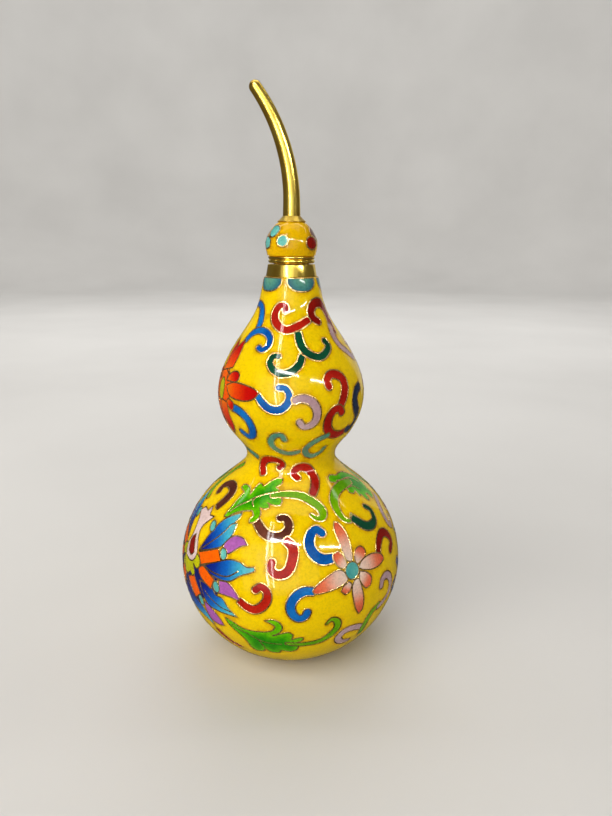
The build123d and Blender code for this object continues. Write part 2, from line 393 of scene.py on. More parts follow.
    def piece(self, name, chosen, material, body, raised=False):
        """Makes the chosen triangles into one closed piece as deep as the enamel. A raised one is wire,
        which stands proud and is round at its edges."""
        faces = self.welded(self.faces[chosen])
        a, b, c = faces.T
        faces = faces[(a != b) & (b != c) & (c != a)]
        used, faces = np.unique(faces, return_inverse=True)
        faces = faces.reshape(-1, 3)
        flat = self.flat[used]
        count = len(used)
        sides = np.concatenate([faces[:, [0, 1]], faces[:, [1, 2]], faces[:, [2, 0]]])
        keys = set(map(tuple, sides))
        rim = np.array([(i, j) for i, j in map(tuple, sides) if (j, i) not in keys])
        rise = np.where(self.on_crest[used], WIRE_CREST, WIRE_EDGE) if raised else np.zeros(count)
        top, normal = self.skin.solid(flat, rise)
        bottom, _ = self.skin.solid(flat, -self.skin.depth)
        shown = self.rounded(flat, rim, normal) if raised else normal
        verts = np.concatenate([top, bottom])
        under = faces[:, ::-1]
        walls = np.stack([rim[:, 1], rim[:, 0], rim[:, 0] + count, rim[:, 1] + count], 1)
        first, second, third, _ = (verts[corner] for corner in walls.T)
        wall_normal = unit(np.cross(second - first, third - first))
        every_face = faces.tolist() + (under + count).tolist() + walls.tolist()
        mesh = smooth_mesh(name, verts * MM, every_face, material)
        mesh.normals_split_custom_set(
            np.concatenate([shown[faces.ravel()], -normal[under.ravel()], np.repeat(wall_normal, 4, 0)])
        )
        tone = mesh.attributes.new("tone", "FLOAT", "POINT")
        tone.data.foreach_set("value", np.tile(self.tones(chosen, used), 2))
        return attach(in_scene(name, mesh), body)

    def tones(self, chosen, used):
        """The tone of each used map point: that of the motif it lies in, or else 0 at a wire and 1 away."""
        tone = np.ones(len(self.flat))
        tone[self.faces[self.wired]] = 0
        for k in np.unique(self.owner[chosen]):
            if k < 0 or self.laid[k][0]["tone"] is None:
                continue
            motif, _, turn = self.laid[k]
            corners = np.unique(self.faces[chosen & (self.owner == k)])
            tone[corners] = motif["tone"](self.flat[corners] - (turn, 0))
        return tone[used]


# ---------------------------------------------------------------- materials

# Scales are in features per metre, heights in millimetres.
CLOUD_SCALE = 190
GRAIN_SCALE = 2300
PIT_SCALE = 3400
POLISH_SCALE = 900
RIPPLE_SCALE = 420
RIPPLE_HEIGHT = 0.012
TARNISH_SCALE = 260
MARK_SCALE = 1700
MARK_HEIGHT = 0.001


def linear(*colour):
    """A colour given as it looks on a screen, 0 to 255, turned into light."""
    shares = [level / 255 for level in colour]
    light = [share / 12.92 if share < 0.0404 else ((share + 0.055) / 1.055) ** 2.4 for share in shares]
    return (*light, 1)


def put(node, **values):
    """Sets a node's sockets, whose names are given with _ for each space."""
    for name, value in values.items():
        node.inputs[name.replace("_", " ")].default_value = value


class Nodes:
    """A material's node tree, built up with short calls."""

    def __init__(self, name):
        self.material = bpy.data.materials.new(name)
        self.material.use_nodes = True
        self.tree = self.material.node_tree
        self.shader = self.tree.nodes["Principled BSDF"]
        self.place = self.add("ShaderNodeTexCoord").outputs["Object"]

    def add(self, kind, **values):
        node = self.tree.nodes.new(kind)
        for key, value in values.items():
            setattr(node, key, value)
        return node

    def link(self, source, target):
        self.tree.links.new(source, target)

    def noise(self, scale, detail=2, roughness=0.5, stretch=None):
        """Noise with scale features per metre, stretched by a vector where one is given."""
        node = self.add("ShaderNodeTexNoise")
        put(node, Scale=scale, Detail=detail, Roughness=roughness)
        place = self.place
        if stretch:
            mapping = self.add("ShaderNodeMapping")
            put(mapping, Scale=stretch)
            self.link(place, mapping.inputs["Vector"])
            place = mapping.outputs["Vector"]
        self.link(place, node.inputs["Vector"])
        return node.outputs["Fac"]

    def ramp(self, source, stops):
        """A colour ramp with (place, colour) stops."""
        node = self.add("ShaderNodeValToRGB")
        ramp = node.color_ramp
        while len(ramp.elements) < len(stops):
            ramp.elements.new(0.5)
        for element, (place, colour) in zip(ramp.elements, stops):
            element.position = place
            element.color = colour
        self.link(source, node.inputs["Fac"])
        return node.outputs["Color"]

    def times(self, first, second):
        """The product of two colour sockets."""
        node = self.add("ShaderNodeMix", data_type="RGBA", blend_type="MULTIPLY")
        node.inputs[0].default_value = 1.0
        self.link(first, node.inputs[6])
        self.link(second, node.inputs[7])
        return node.outputs[2]

    def grey(self, low, high, source, start=0.3, stop=0.7):
        """A grey between two levels that follows a socket."""
        return self.ramp(source, [(start, (low, low, low, 1)), (stop, (high, high, high, 1))])

    def bump(self, source, height):
        """Bumps up to height millimetres that follow a socket."""
        node = self.add("ShaderNodeBump")
        put(node, Distance=height * MM)
        self.link(source, node.inputs["Height"])
        self.link(node.outputs["Normal"], self.shader.inputs["Normal"])


def enamel(name, colours, grain, by_tone=False):
    """Fired glass enamel: colours by the tone or by cloudy patches, a fine grain, pits and a polish."""
    nodes = Nodes(name)
    put(nodes.shader, IOR=1.45, Specular_IOR_Level=0.3, Coat_Weight=0.15, Coat_Roughness=0.03)
    cloud = nodes.noise(CLOUD_SCALE, detail=3)
    if by_tone:
        source = nodes.add("ShaderNodeAttribute", attribute_name="tone").outputs["Fac"]
        start, stop = 0, 1
    else:
        source = cloud
        start, stop = 0.32, 0.68
    spread = np.linspace(start, stop, len(colours))
    base = nodes.ramp(source, [(place, linear(*colour)) for place, colour in zip(spread, colours)])
    fine = nodes.noise(GRAIN_SCALE, detail=3, roughness=0.65)
    base = nodes.times(base, nodes.grey(1 - grain, 1.0, fine, start=0.36, stop=0.58))
    if by_tone:
        base = nodes.times(base, nodes.grey(0.9, 1.0, cloud))
    pits = nodes.noise(PIT_SCALE, detail=1)
    base = nodes.times(base, nodes.grey(0.82, 1.0, pits, start=0.25, stop=0.31))
    nodes.link(base, nodes.shader.inputs["Base Color"])
    nodes.link(nodes.grey(0.05, 0.11, nodes.noise(POLISH_SCALE)), nodes.shader.inputs["Roughness"])
    nodes.bump(nodes.noise(RIPPLE_SCALE), RIPPLE_HEIGHT)
    return nodes.material


def metal(name, bright, dull, roughness, scratch=(1, 1, 1)):
    """Worked metal with tarnish in patches and fine tool marks."""
    nodes = Nodes(name)
    put(nodes.shader, Metallic=1.0)
    patches = nodes.noise(TARNISH_SCALE, detail=4)
    tarnish = nodes.ramp(patches, [(0.35, linear(*dull)), (0.62, linear(*bright))])
    nodes.link(tarnish, nodes.shader.inputs["Base Color"])
    marks = nodes.noise(MARK_SCALE, detail=3, stretch=scratch)
    nodes.link(nodes.grey(roughness * 0.75, roughness * 1.3, marks), nodes.shader.inputs["Roughness"])
    nodes.bump(marks, MARK_HEIGHT)
    return nodes.material


# ---------------------------------------------------------------- motifs

SCROLL_TAPER = (0.86, 1.0, 1.0, 0.95, 0.84, 0.8)
END_DEGREES = 80
ROOT_DEGREES = 65


def along(line):
    """How far along a line each of its points lies, from 0 to 1."""
    run = np.concatenate([[0], np.cumsum(np.linalg.norm(np.diff(line, axis=0), axis=1))])
    return run / run[-1]


def cap_points(centre, radius, forward, leftward, degrees, squash=1.0, steps=7):
    """Points round a stroke's end, from degrees left of forward to as much right of it."""
    angles = np.radians(np.linspace(degrees, -degrees, steps))[:, None]
    return centre + radius * (squash * np.cos(angles) * forward + np.sin(angles) * leftward)


def stroke_outline(skin, marks, widths):
    """The outline of a stroke along marks: its root slightly bowed, its end round."""
    middle = skin.flat(marks)
    line = smooth_line(middle, LINE_STEP, skin.radius(middle).mean())
    half = np.interp(along(line), np.linspace(0, 1, len(widths)), widths) / 2 / skin.radius(line)
    side = side_normals(line, False)
    forward = np.stack([side[:, 1], -side[:, 0]], 1)
    end = cap_points(line[-1], half[-1], forward[-1], side[-1], END_DEGREES)
    root = cap_points(line[0], half[0], -forward[0], -side[0], ROOT_DEGREES, squash=0.5, steps=5)
    side = side * half[:, None]
    return np.concatenate([line + side, end, (line - side)[::-1], root])


def scroll(drawing, fill, broad, marks):
    """A curling stroke of enamel that narrows into its curl."""
    widths = [broad * share for share in SCROLL_TAPER]
    drawing.draw(stroke_outline(drawing.skin, marks, widths), fill)


def panel(drawing, fill, marks, tone=None):
    """A closed cell through marks. tone, where given, is called with the outline and returns the tone."""
    flat = drawing.skin.flat(marks)
    outline = closed_outline(flat, drawing.skin.radius(flat).mean())
    drawing.draw(outline, fill, tone(outline) if tone else None)


def dot(drawing, fill, centre, width, height, tilt=0):
    """An oval cell, its size in millimetres and its tilt in degrees."""
    middle = drawing.skin.flat([centre])[0]
    across = np.array([math.cos(math.radians(tilt)), math.sin(math.radians(tilt))])
    up = np.array([-across[1], across[0]])
    steps = math.ceil(2 * (width + height) / LINE_STEP)
    angles = np.linspace(0, FULL_TURN, steps, endpoint=False)[:, None]
    oval = width * np.cos(angles) * across + height * np.sin(angles) * up
    drawing.draw(middle + oval / 2 / drawing.skin.radius(middle), fill)


def vein(drawing, marks):
    """An open wire through marks."""
    flat = drawing.skin.flat(marks)
    drawing.draw(smooth_line(flat, LINE_STEP, drawing.skin.radius(flat).mean()), None, closed=False)


def from_heart(skin, heart):
    """Tone that grows from a flower's heart to the petal's far tip."""
    heart = skin.flat([heart])[0]

    def tone(outline):
        reach = np.linalg.norm(outline - heart, axis=1)
        near, far = reach.min(), reach.max()
        return lambda points: np.clip((np.linalg.norm(points - heart, axis=1) - near) / (far - near), 0, 1)

    return tone


def from_wire(skin, reach):
    """Tone that grows from the surrounding wire to reach millimetres away from it."""
    return lambda outline: lambda points: np.clip(
        distance(points, outline, True) * skin.radius(points) / reach, 0, 1
    )


def turned(marks, degrees):
    """Marks turned round the axis."""
    return [(angle + degrees, z) for angle, z in marks]


def mirrored(marks, axis, narrowing):
    """Marks reflected in an upright axis, with angles from it multiplied by narrowing."""
    return [(axis + (axis - angle) * narrowing, z) for angle, z in marks]


# The motifs on one side of the bottle. A mark is (degrees round the axis, height), and the number that
# follows a scroll's enamel is its width where it is broadest.
LOWER_SCROLLS = [
    ("green", 1.4, [(-76, 33.7), (-82.5, 35), (-86.5, 36.8), (-85, 38.8), (-77, 40.2)]),
    ("maroon", 1.9, [(-56, 33.9), (-53.5, 35.5), (-54, 36.6), (-59, 37.2), (-67, 37.1), (-71.5, 36.3),
        (-69.5, 35.6)]),
    ("maroon", 1.9, [(-20.5, 33.8), (-14.5, 32.4), (-9, 31.9), (-3, 32.2), (0.2, 33.4), (-2, 34.6),
        (-5.5, 34.6)]),
    ("red", 2, [(-1.5, 31.5), (2.4, 30.3), (0.8, 27), (-2.2, 26), (-5.5, 25.9), (-8.4, 26.8), (-8, 27.9)]),
    ("red", 1.8, [(-23, 20.1), (-19.5, 19.2), (-15.5, 18.9), (-12, 19.7), (-9.4, 21.4), (-10, 22.9),
        (-12.6, 23.5), (-15.2, 22.8)]),
    ("cobalt", 2.15, [(23, 28.1), (18, 28.1), (14, 28.9), (11.4, 30.6), (13, 32.3), (16.5, 32.8),
        (19.4, 32.2)]),
    ("cobalt", 1.9, [(12, 22.8), (7.5, 22.9), (3.6, 22), (1.3, 20.2), (2.3, 18.5), (5.2, 17.5), (8, 17.9),
        (9, 18.8)]),
    ("red", 1.6, [(-32, 40.3), (-36, 41.6), (-33, 42.9), (-22, 43.5), (-13, 43.2), (-9.2, 42.4),
        (-13, 41.8)]),
    ("red", 1.8, [(20, 37.6), (25, 38.7), (28, 39.9), (23.5, 41.4), (14.5, 42), (6.5, 41.5), (5, 40.7),
        (8.5, 40.2)]),
    ("lilac", 1.5, [(86, 33.4), (79, 32.6), (74.5, 30.8), (75, 28.8), (79.5, 28), (82, 29.2)]),
    ("crimson", 1.8, [(52.5, 26.4), (55.5, 27.9), (61, 28.8), (66.5, 27.9), (68.5, 26.1), (64.5, 25)]),
    ("lilac", 1.7, [(42.5, 11.6), (36, 12.5), (30, 12.5), (27, 11.1), (30, 9.3), (35, 8.8)]),
    ("green", 1.7, [(43.5, 9.5), (44, 12.6), (46.5, 14.6), (51, 15.4)]),
    ("lilac", 1.6, [(51.5, 19.3), (52.5, 20.8), (56.5, 21.1), (60.5, 19.8), (62, 17.8), (60, 16),
        (52, 14.8)]),
    ("red", 1.4, [(-42, 10.6), (-38.5, 9.2), (-34.5, 8), (-30, 7.6)]),
    ("cobalt", 1.8, [(72.5, 21.5), (77, 19.6), (78, 17.2), (74.5, 15.2), (69.5, 15), (67.5, 16.6),
        (70.5, 17.6)]),
    ("green", 1.6, [(98, 5), (87, 5.4), (77, 6.6), (70.5, 8.4), (71.5, 10.3), (76.5, 11), (80, 9.8)]),
    ("red", 1.8, [(99, 5.2), (108, 6), (116, 7.4), (119, 9.3), (114.5, 10.5), (109.5, 9.8)]),
    ("lilac", 1.6, [(84, 12.6), (90, 11.6), (96, 11.9), (99, 13.2), (96.5, 14.4), (92.5, 14)]),
]

UPPER_SCROLLS = [
    ("red", 1.7, [(26.5, 70.4), (-4, 68.7), (-15.5, 69.3), (-23.5, 70.6), (-24, 72), (-17, 72.9),
        (-9.5, 72.8), (-8, 72)]),
    ("crimson", 2, [(64, 67.8), (71.5, 70.9), (67, 72.5), (56, 73.3), (43, 73.1), (34.5, 72), (35, 70.7),
        (41.5, 70)]),
    ("bottle_green", 1.55, [(11.5, 64.4), (8.5, 63), (1.5, 61.7), (-6.5, 61.3), (-14, 62), (-17.5, 63.2),
        (-15, 64.2), (-10.5, 64.2)]),
    ("bottle_green", 1.65, [(9.5, 68.2), (10.5, 66.8), (14, 65.3), (21, 64.3), (29.5, 64), (41.8, 65.6),
        (40, 66.6)]),
    ("cobalt", 1.5, [(-45.5, 68.4), (-47, 70.1), (-57.5, 72.4), (-70, 72.9), (-82, 72.6)]),
    ("cobalt", 1.5, [(-56.5, 66.2), (-51, 67.6), (-41, 68.3), (-29, 68), (-22.5, 66.9), (-24, 65.6),
        (-29, 65.1), (-33, 65.4)]),
    ("lilac", 1.5, [(63.5, 69.2), (58.5, 67.4), (60, 65.6), (68, 64.2), (78, 62.8), (86, 63.2), (88, 64.8),
        (83, 65.5)]),
    ("cobalt", 1.65, [(-24, 57.2), (-19.5, 55.9), (-13.5, 54.9), (-7, 54.9), (-1.6, 56), (0, 57.5),
        (-3, 58.8), (-8, 58.9)]),
    ("lilac", 1.65, [(3, 56.6), (9, 57), (15.5, 56.5), (19.8, 55), (20, 53), (16, 51.8), (10.5, 51.6),
        (7.5, 52.5)]),
    ("red", 1.9, [(39.5, 54.4), (46, 58), (45.5, 59.7), (40, 60.7), (33.5, 60.8), (29.8, 59.8),
        (31, 58.8)]),
    ("red", 1.9, [(52, 49.1), (44.5, 48.8), (36.5, 49.3), (30.8, 50.8), (30.2, 52.8), (34, 54.2),
        (39, 54.5), (42, 53.6)]),
    ("navy", 2, [(67, 57.6), (60.5, 57), (57.5, 55.4), (60, 53.6), (64.5, 52.2), (65, 50.4), (60, 49.2),
        (55, 49.5)]),
    ("cobalt", 1.8, [(-49, 54.2), (-40, 53.7), (-33.5, 52.5), (-30.6, 50.8), (-32, 49.2), (-37.5, 48.5),
        (-43.5, 49.3)]),
    ("teal", 1.5, [(11, 45.8), (2, 45.3), (-7, 45.5), (-14.6, 46.5), (-16.4, 48.1), (-12, 49.5),
        (-6.5, 49.7), (-4, 48.7)]),
    ("teal", 1.5, [(34, 49.2), (27, 48.6), (20, 47.6), (15.5, 46.2), (19, 44.8), (27, 44.3), (36, 45),
        (37, 46)]),
    ("teal", 1.3, [(-43, 43.3), (-53, 43.9), (-65.5, 44.4), (-80, 45.4), (-94, 45.7), (-103, 44.8),
        (-100, 43.9), (-92, 44)]),
    ("teal", 1.5, [(73, 47), (92, 48.2), (100, 49.7), (101, 51.5), (95.5, 52.3), (91, 51.3)]),
]

# Stems that grow out of the leaves and end in a pointed hook, with their widths from root to tip.
STEMS = [
    ("green", (1.0, 1.5, 1.7, 1.9, 1.8, 0.7), [(-15.5, 37.5), (-6, 37.8), (9.5, 37.6), (21, 36.2),
        (23.6, 35.2), (22, 34.4), (18, 34.4), (15.2, 34.9)]),
    ("green", (1.4, 2.1, 2.0, 1.9, 1.3, 0.5), [(69.5, 37.6), (56.5, 37.8), (45.5, 37.5), (38, 36.7),
        (34.8, 35.4), (35.5, 34), (38, 33.2), (41.5, 33), (43.5, 33.8)]),
    ("bottle_green", (1.7, 1.9, 1.8, 1.2, 1.1), [(43.2, 33.2), (50, 31.4), (56, 31), (61, 31.6), (62.5, 33),
        (59.5, 33.9)]),
    ("green", (0.7, 1.2, 1.3, 1.5, 1.5, 0.4), [(-1, 11.3), (7.5, 10.9), (18, 11.6), (24.5, 14.3),
        (23.7, 15.9), (21, 16.5), (18.4, 15.6)]),
]

# Leaves, each an outline and its ribs. Their colour runs to LEAF_SHADE millimetres from the wire.
LEAF_SHADE = 1.5
LEAF_TOP = [
    (-45, 33.3), (-41.5, 37.2), (-48, 37.6), (-47.5, 38.1), (-44, 38.2), (-39, 38), (-36, 37.6),
    (-34.5, 37.1), (-33.8, 37.9), (-31.5, 38.9), (-28.5, 38.9), (-26, 38.6), (-18.5, 39.7), (-12.5, 40.1),
    (-7.5, 40), (-8, 39.3), (-13, 38.7), (-9.5, 38.3), (-7.5, 37.6), (-5.6, 36.9), (-6.5, 36.3),
    (-11, 36.2), (-17.5, 36.5), (-15, 36.3), (-14.8, 35.8), (-18, 35.6), (-21.5, 35.7), (-19.6, 35.1),
    (-19.5, 34.4), (-22, 33.6), (-25, 33.4), (-25.5, 33.9), (-23.7, 34.5), (-26, 35.1), (-31, 34.9),
    (-38, 34.2), (-42.5, 33.2),
]
LEAF_RIGHT = [
    (49.5, 38.4), (44.5, 38.7), (44, 39.3), (48.5, 39.7), (57.5, 39.3), (64, 39.4), (73, 39.1), (86, 37.2),
    (86, 35.8), (83, 35), (83.5, 34.4), (79.5, 33.8), (75.5, 33.8), (75, 34.8), (72.5, 35), (70.5, 34),
    (67.6, 34.4), (66.5, 35.4), (63.5, 35.4), (64, 36.3), (59, 36.1), (55.5, 36.5), (57, 37.1),
    (51.5, 37.4),
]
LEAF_LOW = [
    (-32, 15.5), (-28, 15), (-22, 14), (-9.8, 14.2), (-7, 14.8), (-6, 15.7), (-8, 16.3), (-11, 16.8),
    (-7.5, 17.2), (-4, 16.7), (-2.5, 15.5), (-4, 14.2), (-8, 13.2), (0.5, 14.3), (2.6, 13.7), (1.8, 12.3),
    (4.5, 12.8), (7.5, 12.9), (7.5, 12.2), (4.5, 11.5), (5.5, 10.3), (4.5, 9.2), (1.5, 8.6), (-3.5, 9),
    (-5, 8), (-9, 8), (-12.5, 9), (-14.5, 8), (-18.5, 7.7), (-20.5, 8.5), (-23, 11.1), (-31, 14.4),
]
LEAVES = [
    (LEAF_TOP, [(-43, 34), (-39, 35.2), (-33.5, 36.1), (-28.5, 36.9), (-22, 37.5), (-14, 38)],
     [(-26.5, 35.7), (-29, 36.2), (-28.5, 36.8)]),
    (LEAF_RIGHT, [(52, 38.6), (60, 38.4), (70, 38.2), (77.5, 37.6), (82, 36.5)],
     [(58, 37.1), (66, 36.9), (71, 36)]),
    (LEAF_LOW, [(-29, 14.3), (-23, 13.2), (-19.5, 12.7), (-14.5, 11.6), (-10, 11.1), (-3, 11)],
     [(-15, 11.6), (-13.6, 10.4), (-12.5, 9.3)]),
]

STAR_HEART = (32.5, 25.2)
STAR_HEART_SIZE = (3.1, 3.3)
STAR_PETALS = [
    [(33.5, 26.8), (34.5, 28.8), (34, 31.9), (31.5, 33.2), (29, 33.5), (27.5, 32.7), (28.5, 29.6),
     (30.5, 27.1)],
    [(35.5, 26), (35, 27.2), (36.5, 28.4), (40, 28.8), (42.5, 28.2), (42.5, 27.1), (38, 26.2)],
    [(36.5, 25.3), (38.5, 26.2), (42, 26.7), (49, 26.6), (55, 25.4), (55.5, 24.5), (51, 24), (44.5, 24.1),
     (38.5, 24.8)],
    [(37, 24.7), (41, 24), (44, 22.6), (43, 21.2), (40, 21), (37.5, 22), (36, 23.6)],
    [(33.5, 23.4), (31.5, 22.1), (33.5, 17.7), (36, 16), (38, 16.6), (38.5, 18.9), (36, 23.4)],
    [(30, 23.4), (26.5, 22.7), (25.5, 21.9), (27.5, 21.1), (30, 21.5), (31.5, 22.8)],
    [(29, 24.9), (25.5, 25.9), (21, 25.5), (12.5, 23.5), (11.5, 22.8), (12.5, 22.3), (27, 23.1),
     (29.5, 23.9)],
    [(30, 26.3), (29, 28), (26.5, 29), (23.5, 28.7), (23, 27.9), (26, 26.2), (29.5, 25.9)],
]

# The blue flower, marked on its near half. The far half is narrower by LOTUS_NARROWING.
LOTUS_HEART = (-61, 25.5)
LOTUS_AXIS = -63
LOTUS_NARROWING = 0.75
LOTUS_PANELS = [
    ("deep_blue", [(-49, 24.2), (-42.5, 24.9), (-35, 24.3), (-36, 22.7), (-37, 21.4), (-35, 20.3),
        (-39, 18.3), (-47, 17.3), (-50, 14.6), (-56.5, 14), (-63, 15.2), (-66, 18), (-60.5, 21)]),
    ("purple", [(-36.5, 29), (-33.5, 30.6), (-30.5, 31.1), (-25.5, 31), (-22, 30.1), (-26, 29.6),
        (-31.5, 28.1), (-35, 27.6)]),
    ("purple", [(-35, 22.9), (-29.5, 23), (-24, 21.1), (-23, 20.1), (-27.5, 20.4), (-34.5, 20.4)]),
    ("purple", [(-45.5, 17.1), (-40.5, 16.2), (-36, 14.6), (-34, 13), (-38.5, 12.7), (-43, 13.1),
        (-45.5, 15)]),
    ("blue_petal", [(-53.5, 26.3), (-43, 32.9), (-32.5, 34.6), (-32.5, 33.9), (-34.5, 32.9), (-36, 31.6),
        (-45.5, 27.9)]),
    ("blue_petal", [(-53.5, 26.2), (-43.5, 29.5), (-39, 31.2), (-36, 32.6), (-32.5, 32.9), (-33, 31),
        (-35.5, 29.8), (-38, 28.7)]),
    ("blue_petal", [(-46.5, 24.3), (-38.5, 26), (-29.5, 27.2), (-24, 27.1), (-20.5, 26.6), (-16.5, 26.8),
        (-16, 26.2), (-17.5, 25.8), (-23, 24.9), (-29.5, 23.3), (-43, 23.5)]),
    ("blue_petal", [(-49, 21), (-45, 21.1), (-39, 20.7), (-37, 19.8), (-32.5, 19.5), (-29.5, 18),
        (-24.5, 16.4), (-38, 16.4), (-43, 16.8)]),
    ("blue_petal", [(-67.5, 18), (-61.5, 18.4), (-55.5, 16.6), (-47.5, 15), (-43.5, 12.9), (-42.5, 11.5),
        (-47.5, 12.5), (-65, 13.4)]),
    ("orange", [(-53, 26), (-39, 28.3), (-35.5, 26.4), (-49, 24.1)]),
    ("orange", [(-50.5, 23.2), (-47.5, 24.1), (-38, 22.7), (-40, 20.5), (-49, 22.1)]),
    ("orange", [(-61, 19.8), (-54, 21.2), (-48, 18.2), (-54, 16.3)]),
]
LOTUS_VEINS = [
    [(-46, 24.2), (-39, 23.9), (-30.5, 24.1), (-24.5, 25.6)],
    [(-45, 19.6), (-39, 18.2), (-33, 17.4), (-28, 17.2)],
]
LOTUS_BEADS = [(-35, 27.7), (-36.5, 21.4), (-48.5, 16.7), (-49.5, 31.2)]
LOTUS_BEAD_SIZE = (1.6, 2.3)
LOTUS_BEAD_TILT = 20
LOTUS_DROP = [
    (-59.5, 23.3), (-66.5, 23.5), (-67.5, 25.6), (-65, 28.1), (-67, 30.6), (-71.5, 31.7), (-68, 32.7),
    (-62.5, 32.6), (-60.5, 33.7), (-57.5, 32.3), (-52.5, 32.5), (-59, 29.6), (-54.5, 25.5), (-56, 24.1),
]
LOTUS_DROP_HEART = [(-60, 24.4), (-64, 24.7), (-65, 26.7), (-61.5, 28.4), (-57.5, 25.3)]
LOTUS_CUP = [
    (-54, 25.5), (-50.5, 24.8), (-50, 23.6), (-52.5, 22.8), (-56, 23.3), (-53.5, 21.6), (-56, 20.6),
    (-58.5, 21.3), (-62, 20.2), (-65.5, 20.2), (-66.5, 21.4), (-68, 24), (-62, 26),
]

# The red flower, marked and narrowed in the same way about its heart.
FIRE_HEART = (-66, 57)
FIRE_NARROWING = 0.8
FIRE_CUP_SIZE = (7.5, 8.5)
FIRE_HEART_SIZE = (2.6, 4.4)
FIRE_PETALS = [
    [(-81.5, 59.7), (-56, 61.3), (-54.5, 63.6), (-56.5, 66.4), (-62, 65.7), (-69, 63.9), (-72.5, 61.6),
     (-74, 58.9)],
    [(-65.5, 55.1), (-54.5, 54.8), (-54, 52.6), (-52.5, 50), (-60, 48), (-64, 49.6), (-67, 53.6)],
    [(-59, 59.1), (-56, 60.2), (-51.5, 60.8), (-45.5, 60.7), (-43.5, 59.9), (-45.5, 59.1), (-58.5, 58.8)],
    [(-53, 55.6), (-46.5, 55.2), (-46.5, 54.3), (-48.5, 53.3), (-52.5, 53.9), (-55.5, 55)],
    [(-57.5, 58), (-47.5, 58.9), (-27.5, 58.4), (-23, 57.7), (-26.5, 56.6), (-34.5, 55.9), (-52, 56.3)],
]

DOME_BLUE_PETALS = [
    [(-48, 85.3), (-39, 85.7), (-32, 86.6), (-42, 87.4), (-64, 87.4), (-72, 86.3), (-60, 85.5)],
    [(-52, 84.7), (-54, 83.5), (-70, 83.2), (-86, 84.2), (-80, 85.4), (-64, 85.4)],
]
DOME_RED_PETAL = [
    (58, 86.4), (64, 86.9), (74, 87.2), (88, 86.8), (97, 85.7), (90, 84.7), (76, 84.8), (56, 85.7),
]
DOME_BLUE_DOT = ((-19.5, 84.7), 2.3, 2.2)
DOME_RED_DOT = ((53, 84.3), 3.1, 2.5)

LAPPETS = 5
LAPPET_CENTRE = 23
LAPPET_SPAN = 61
LAPPET_TOP_Z = 77.9
LAPPET_DROP = 2.5


def lappet(centre):
    """A tongue that hangs from the mouth, wide and rounded."""
    half = LAPPET_SPAN / 2
    shape = ((-1, 0), (-0.97, 0.42), (-0.6, 0.86), (0, 1), (0.6, 0.86), (0.97, 0.42), (1, 0))
    return [(centre + half * across, LAPPET_TOP_Z - LAPPET_DROP * down) for across, down in shape]


def draw_lotus(drawing, turn):
    """The large blue flower: what is marked on its near half is also drawn mirrored on its far half."""
    heart = (LOTUS_HEART[0] + turn, LOTUS_HEART[1])

    def pair(marks):
        return turned(mirrored(marks, LOTUS_AXIS, LOTUS_NARROWING), turn), turned(marks, turn)

    for fill, marks in LOTUS_PANELS:
        for outline in pair(marks):
            panel(drawing, fill, outline, from_heart(drawing.skin, heart) if fill == "blue_petal" else None)
    for marks in LOTUS_VEINS:
        for line in pair(marks):
            vein(drawing, line)
    for bead in LOTUS_BEADS:
        (mirror_bead,), (own_bead,) = pair([bead])
        dot(drawing, "turquoise", own_bead, *LOTUS_BEAD_SIZE, LOTUS_BEAD_TILT)
        dot(drawing, "turquoise", mirror_bead, *LOTUS_BEAD_SIZE)
    for outline in pair(LOTUS_CUP):
        panel(drawing, "lime", outline)
    panel(drawing, "white", turned(LOTUS_DROP, turn))
    panel(drawing, "crimson", turned(LOTUS_DROP_HEART, turn))


def draw_bottle(drawing):
    """One side of the bottle, then the same again on the far side, and the ring of lappets."""
    skin = drawing.skin
    for turn in (0, 180):
        for fill, broad, marks in LOWER_SCROLLS + UPPER_SCROLLS:
            scroll(drawing, fill, broad, turned(marks, turn))
        for outline, *ribs in LEAVES:
            panel(drawing, "leaf", turned(outline, turn), from_wire(skin, LEAF_SHADE))
            for rib in ribs:
                vein(drawing, turned(rib, turn))
        for fill, widths, marks in STEMS:
            drawing.draw(stroke_outline(skin, turned(marks, turn), widths), fill)
        heart = (STAR_HEART[0] + turn, STAR_HEART[1])
        for marks in STAR_PETALS:
            panel(drawing, "coral_petal", turned(marks, turn), from_heart(skin, heart))
        dot(drawing, "turquoise", heart, *STAR_HEART_SIZE)
        draw_lotus(drawing, turn)
        heart = (FIRE_HEART[0] + turn, FIRE_HEART[1])
        dot(drawing, "orange", heart, *FIRE_CUP_SIZE)
        far_petals = [mirrored(marks, FIRE_HEART[0], FIRE_NARROWING) for marks in FIRE_PETALS]
        for marks in far_petals + FIRE_PETALS:
            panel(drawing, "fire_petal", turned(marks, turn), from_heart(skin, heart))
        dot(drawing, "lime", heart, *FIRE_HEART_SIZE)
    for k in range(LAPPETS):
        centre = LAPPET_CENTRE + 360 * k / LAPPETS
        panel(drawing, "lappet", lappet(centre), from_heart(skin, (centre, LAPPET_TOP_Z)))


def draw_stopper(drawing):
    """The small flowers on the stopper's dome."""
    blue_dot, *blue_size = DOME_BLUE_DOT
    red_dot, *red_size = DOME_RED_DOT
    for turn in (0, 180):
        for marks in DOME_BLUE_PETALS:
            panel(drawing, "turquoise", turned(marks, turn))
        dot(drawing, "turquoise", *turned([blue_dot], turn), *blue_size)
        panel(drawing, "maroon", turned(DOME_RED_PETAL, turn))
        dot(drawing, "crimson", *turned([red_dot], turn), *red_size)


